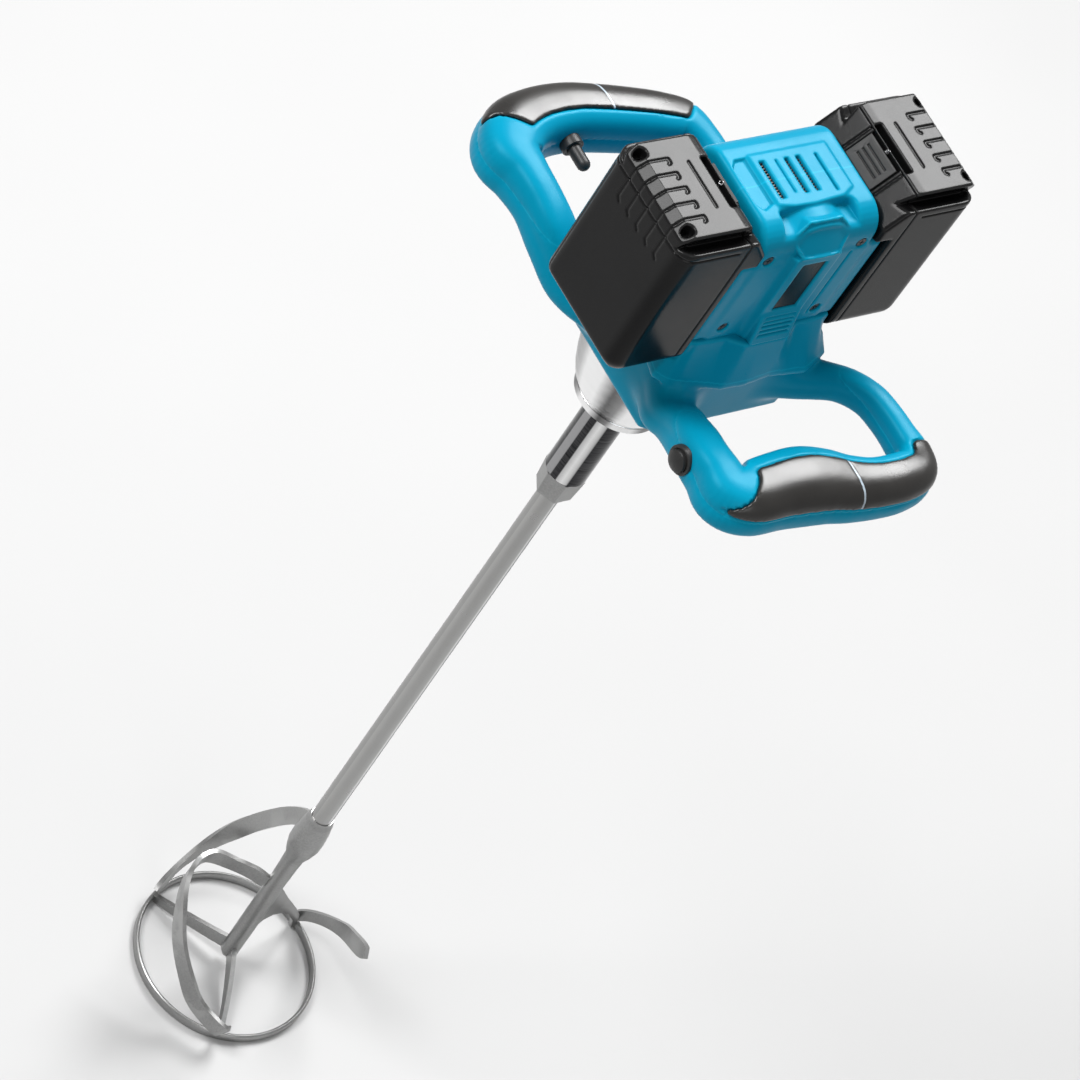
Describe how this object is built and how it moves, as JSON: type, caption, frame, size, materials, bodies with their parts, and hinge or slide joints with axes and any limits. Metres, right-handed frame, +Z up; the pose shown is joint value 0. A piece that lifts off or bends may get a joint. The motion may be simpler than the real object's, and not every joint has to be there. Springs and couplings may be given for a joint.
{
  "type": "cordless mortar mixer",
  "caption": "Upright cordless mixer: blue motor housing with side battery packs, two loop handles, bell gearbox, chrome coupling, long rod and ring paddle with rising blades.",
  "frame": {"origin": "on the spindle axis at the underside of the paddle's foot ring", "axes": "+Z up along the spindle and rod, towards the motor; -Y towards the display and front handle; +X towards the right battery pack"},
  "size_m": [0.202, 0.3002, 0.845],
  "materials": {
    "blue_shell": "semi-gloss moulded",
    "grip_rubber": "smooth satin",
    "pack_black": "fine texture",
    "pack_button": "satin",
    "button_black": "satin",
    "bell_aluminium": "polished casting",
    "lid_aluminium": "machined",
    "chrome_sleeve": "polished",
    "steel_rod": "drawn, satin",
    "steel_paddle": "galvanised, satin",
    "steel_gear": "ground",
    "steel_bearing": "ground",
    "steel_screw": "black oxide",
    "spring_steel": "bright",
    "core_steel": "laminated",
    "copper": "enamelled copper",
    "board_green": "solder mask",
    "display_clear": "smoked window",
    "cell_wrap": "heat-shrink sleeve",
    "brass_blade": "plain",
    "seal_rubber": "plain",
    "cable_jacket": "satin",
    "heatsink_aluminium": "extruded"
  },
  "bodies": {
    "tool_body": {"control_board": "board_green", "display_board": "board_green", "display_window": "display_clear", "dock_blades": "brass_blade", "dock_blocks": "button_black", "gear_case": "bell_aluminium", "gear_case_lid": "lid_aluminium", "gear_case_lid_screws": "steel_screw", "grip_front": "grip_rubber", "grip_rear": "grip_rubber", "handle_frame_lower": "blue_shell", "handle_frame_upper": "blue_shell", "heat_sink": "heatsink_aluminium", "housing_front": "blue_shell", "housing_rear": "blue_shell", "housing_screws": "steel_screw", "layshaft_bearings": "steel_bearing", "lock_collar": "button_black", "micro_switches": "button_black", "motor_bearings": "steel_bearing", "motor_end_plate": "button_black", "motor_stator": "core_steel", "nose_cap": "bell_aluminium", "pod_bolts": "steel_screw", "spindle_bearings": "steel_bearing", "spindle_seal": "seal_rubber", "start_collar": "button_black", "start_spring": "spring_steel", "stator_windings": "copper", "wiring": "cable_jacket"},
    "mixing_spindle": {"coupling_sleeve": "chrome_sleeve", "mixing_rod": "steel_rod", "output_spindle": "steel_gear", "paddle_blades": "steel_paddle", "paddle_hub": "steel_paddle", "paddle_ring": "steel_paddle", "paddle_spokes": "steel_paddle", "rod_nut": "steel_paddle", "spindle_gear": "steel_gear"},
    "motor_rotor": {"motor_shaft": "steel_gear", "rotor_core": "core_steel", "cooling_fan": "button_black"},
    "layshaft_group": {"layshaft": "steel_gear", "layshaft_gear": "steel_gear"},
    "battery_left": {"battery_left_board": "board_green", "battery_left_cells": "cell_wrap", "battery_left_inner_case": "pack_black", "battery_left_outer_case": "pack_black", "battery_left_screws": "steel_screw", "battery_left_release_spring": "spring_steel"},
    "battery_left_button": {"battery_left_release_button": "pack_button"},
    "battery_right": {"battery_right_board": "board_green", "battery_right_cells": "cell_wrap", "battery_right_inner_case": "pack_black", "battery_right_outer_case": "pack_black", "battery_right_screws": "steel_screw", "battery_right_release_spring": "spring_steel"},
    "battery_right_button": {"battery_right_release_button": "pack_button"},
    "start_plunger": {"start_button": "button_black"},
    "lock_plunger": {"lock_button": "button_black"}
  },
  "joints": [
    {"name": "spindle_spin", "type": "hinge", "parent": "tool_body", "child": "mixing_spindle", "pos_m": [0, 0, 0.6], "axis": [0, 0, 1], "continuous": true},
    {"name": "layshaft_spin", "type": "hinge", "parent": "tool_body", "child": "layshaft_group", "pos_m": [0.02395, -0.01246, 0.7], "axis": [0, 0, 1], "continuous": true},
    {"name": "rotor_spin", "type": "hinge", "parent": "tool_body", "child": "motor_rotor", "pos_m": [0, -0.014, 0.76], "axis": [0, 0, 1], "continuous": true},
    {"name": "battery_left_slide", "type": "slide", "parent": "tool_body", "child": "battery_left", "axis": [0, 0, 1], "range_m": [0, 0.1]},
    {"name": "battery_right_slide", "type": "slide", "parent": "tool_body", "child": "battery_right", "axis": [0, 0, 1], "range_m": [0, 0.1]},
    {"name": "battery_left_release", "type": "slide", "parent": "battery_left", "child": "battery_left_button", "axis": [-0.6247, 0, 0.7809], "range_m": [0, 0.0026], "deforming": ["battery_left_release_spring"]},
    {"name": "battery_right_release", "type": "slide", "parent": "battery_right", "child": "battery_right_button", "axis": [0.6247, 0, 0.7809], "range_m": [0, 0.0026], "deforming": ["battery_right_release_spring"]},
    {"name": "start_press", "type": "slide", "parent": "tool_body", "child": "start_plunger", "axis": [0, 1, 0], "range_m": [0, 0.006], "deforming": ["start_spring"]},
    {"name": "lock_press", "type": "slide", "parent": "tool_body", "child": "lock_plunger", "axis": [1, 0, 0], "range_m": [0, 0.003]}
  ],
  "couplings": [
    {"joint": "layshaft_spin", "follows": "spindle_spin", "ratio": -2.75},
    {"joint": "rotor_spin", "follows": "spindle_spin", "ratio": 9.25}
  ]
}
